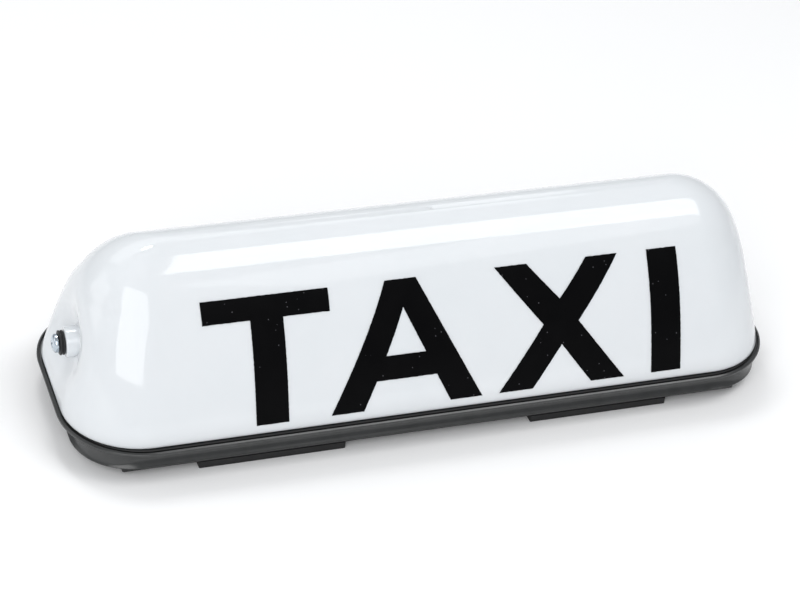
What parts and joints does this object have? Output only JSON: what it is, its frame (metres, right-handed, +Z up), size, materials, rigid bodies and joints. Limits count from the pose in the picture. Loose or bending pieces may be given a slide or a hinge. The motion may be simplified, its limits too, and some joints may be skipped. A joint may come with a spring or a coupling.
{
  "type": "taxi roof sign",
  "caption": "Illuminated taxi roof sign: a long opal dome screwed at its ends over a black moulded tray, on rubber-booted magnet feet.",
  "frame": {"origin": "under the middle of the two feet, on the surface the sign stands on", "axes": "+X along the sign to its right end, +Y to the back, +Z up"},
  "size_m": [0.4, 0.1342, 0.1066],
  "materials": {
    "opal_acrylic": "opal white acrylic, glossy, lets the lamps shine through evenly",
    "black_abs": "black ABS moulding with a fine satin texture",
    "black_rubber": "black moulded rubber, dull",
    "black_coated_steel": "black powder coating on steel",
    "zinc_steel": "bright bluish zinc plating",
    "white_enamel": "white enamel on sheet steel",
    "brass": "bright spring brass",
    "lamp_glass": "clear drawn glass",
    "nickel": "nickel plating, slightly dulled",
    "ferrite": "dark grey sintered ferrite",
    "cream_nylon": "natural nylon",
    "brown_phenolic": "brown moulded phenolic",
    "red_pvc": "soft red PVC insulation",
    "black_pvc": "soft black PVC insulation",
    "black_film": "black screen print of the block-letter legend, satin"
  },
  "bodies": {
    "base": {"base_tray": "black_abs", "cover_seal": "black_rubber", "cable_grommet": "black_rubber", "foot_boot_left": "black_rubber", "foot_boot_right": "black_rubber", "mounting_plate": "black_coated_steel", "end_bracket_left": "zinc_steel", "end_bracket_right": "zinc_steel", "bracket_screw_left": "zinc_steel", "bracket_screw_right": "zinc_steel", "foot_screw_1": "zinc_steel", "foot_screw_2": "zinc_steel", "foot_screw_3": "zinc_steel", "foot_screw_4": "zinc_steel", "reflector_screw_1": "zinc_steel", "reflector_screw_2": "zinc_steel", "reflector_screw_3": "zinc_steel", "reflector_screw_4": "zinc_steel", "reflector_plate": "white_enamel", "terminal_screw_1": "brass", "terminal_screw_2": "brass", "lamp_contact_left_inner": "brass", "lamp_contact_left_outer": "brass", "lamp_contact_right_inner": "brass", "lamp_contact_right_outer": "brass", "lamp_glass_left": "lamp_glass", "lamp_glass_right": "lamp_glass", "lamp_cap_left_inner": "nickel", "lamp_cap_left_outer": "nickel", "lamp_cap_right_inner": "nickel", "lamp_cap_right_outer": "nickel", "foot_magnet_left": "ferrite", "foot_magnet_right": "ferrite", "terminal_block": "cream_nylon", "lamp_base_left": "brown_phenolic", "lamp_base_right": "brown_phenolic", "lead_live_left": "red_pvc", "lead_live_right": "red_pvc", "lead_earth_left": "black_pvc", "lead_earth_right": "black_pvc"},
    "cover": {"cover": "opal_acrylic", "end_washer_left": "black_rubber", "end_washer_right": "black_rubber", "end_nut_left": "zinc_steel", "end_nut_right": "zinc_steel"},
    "end_screw_left": {"end_screw_left": "zinc_steel"},
    "end_screw_right": {"end_screw_right": "zinc_steel"}
  },
  "joints": [
    {"name": "cover_lift", "type": "slide", "parent": "base", "child": "cover", "axis": [0, 0, 1], "range_m": [0, 0.13]},
    {"name": "left_screw_turn", "type": "hinge", "parent": "cover", "child": "end_screw_left", "pos_m": [-0.1942, 0, 0.0474], "axis": [-1, 0, 0], "continuous": true},
    {"name": "right_screw_turn", "type": "hinge", "parent": "cover", "child": "end_screw_right", "pos_m": [0.1942, 0, 0.0474], "axis": [1, 0, 0], "continuous": true}
  ]
}
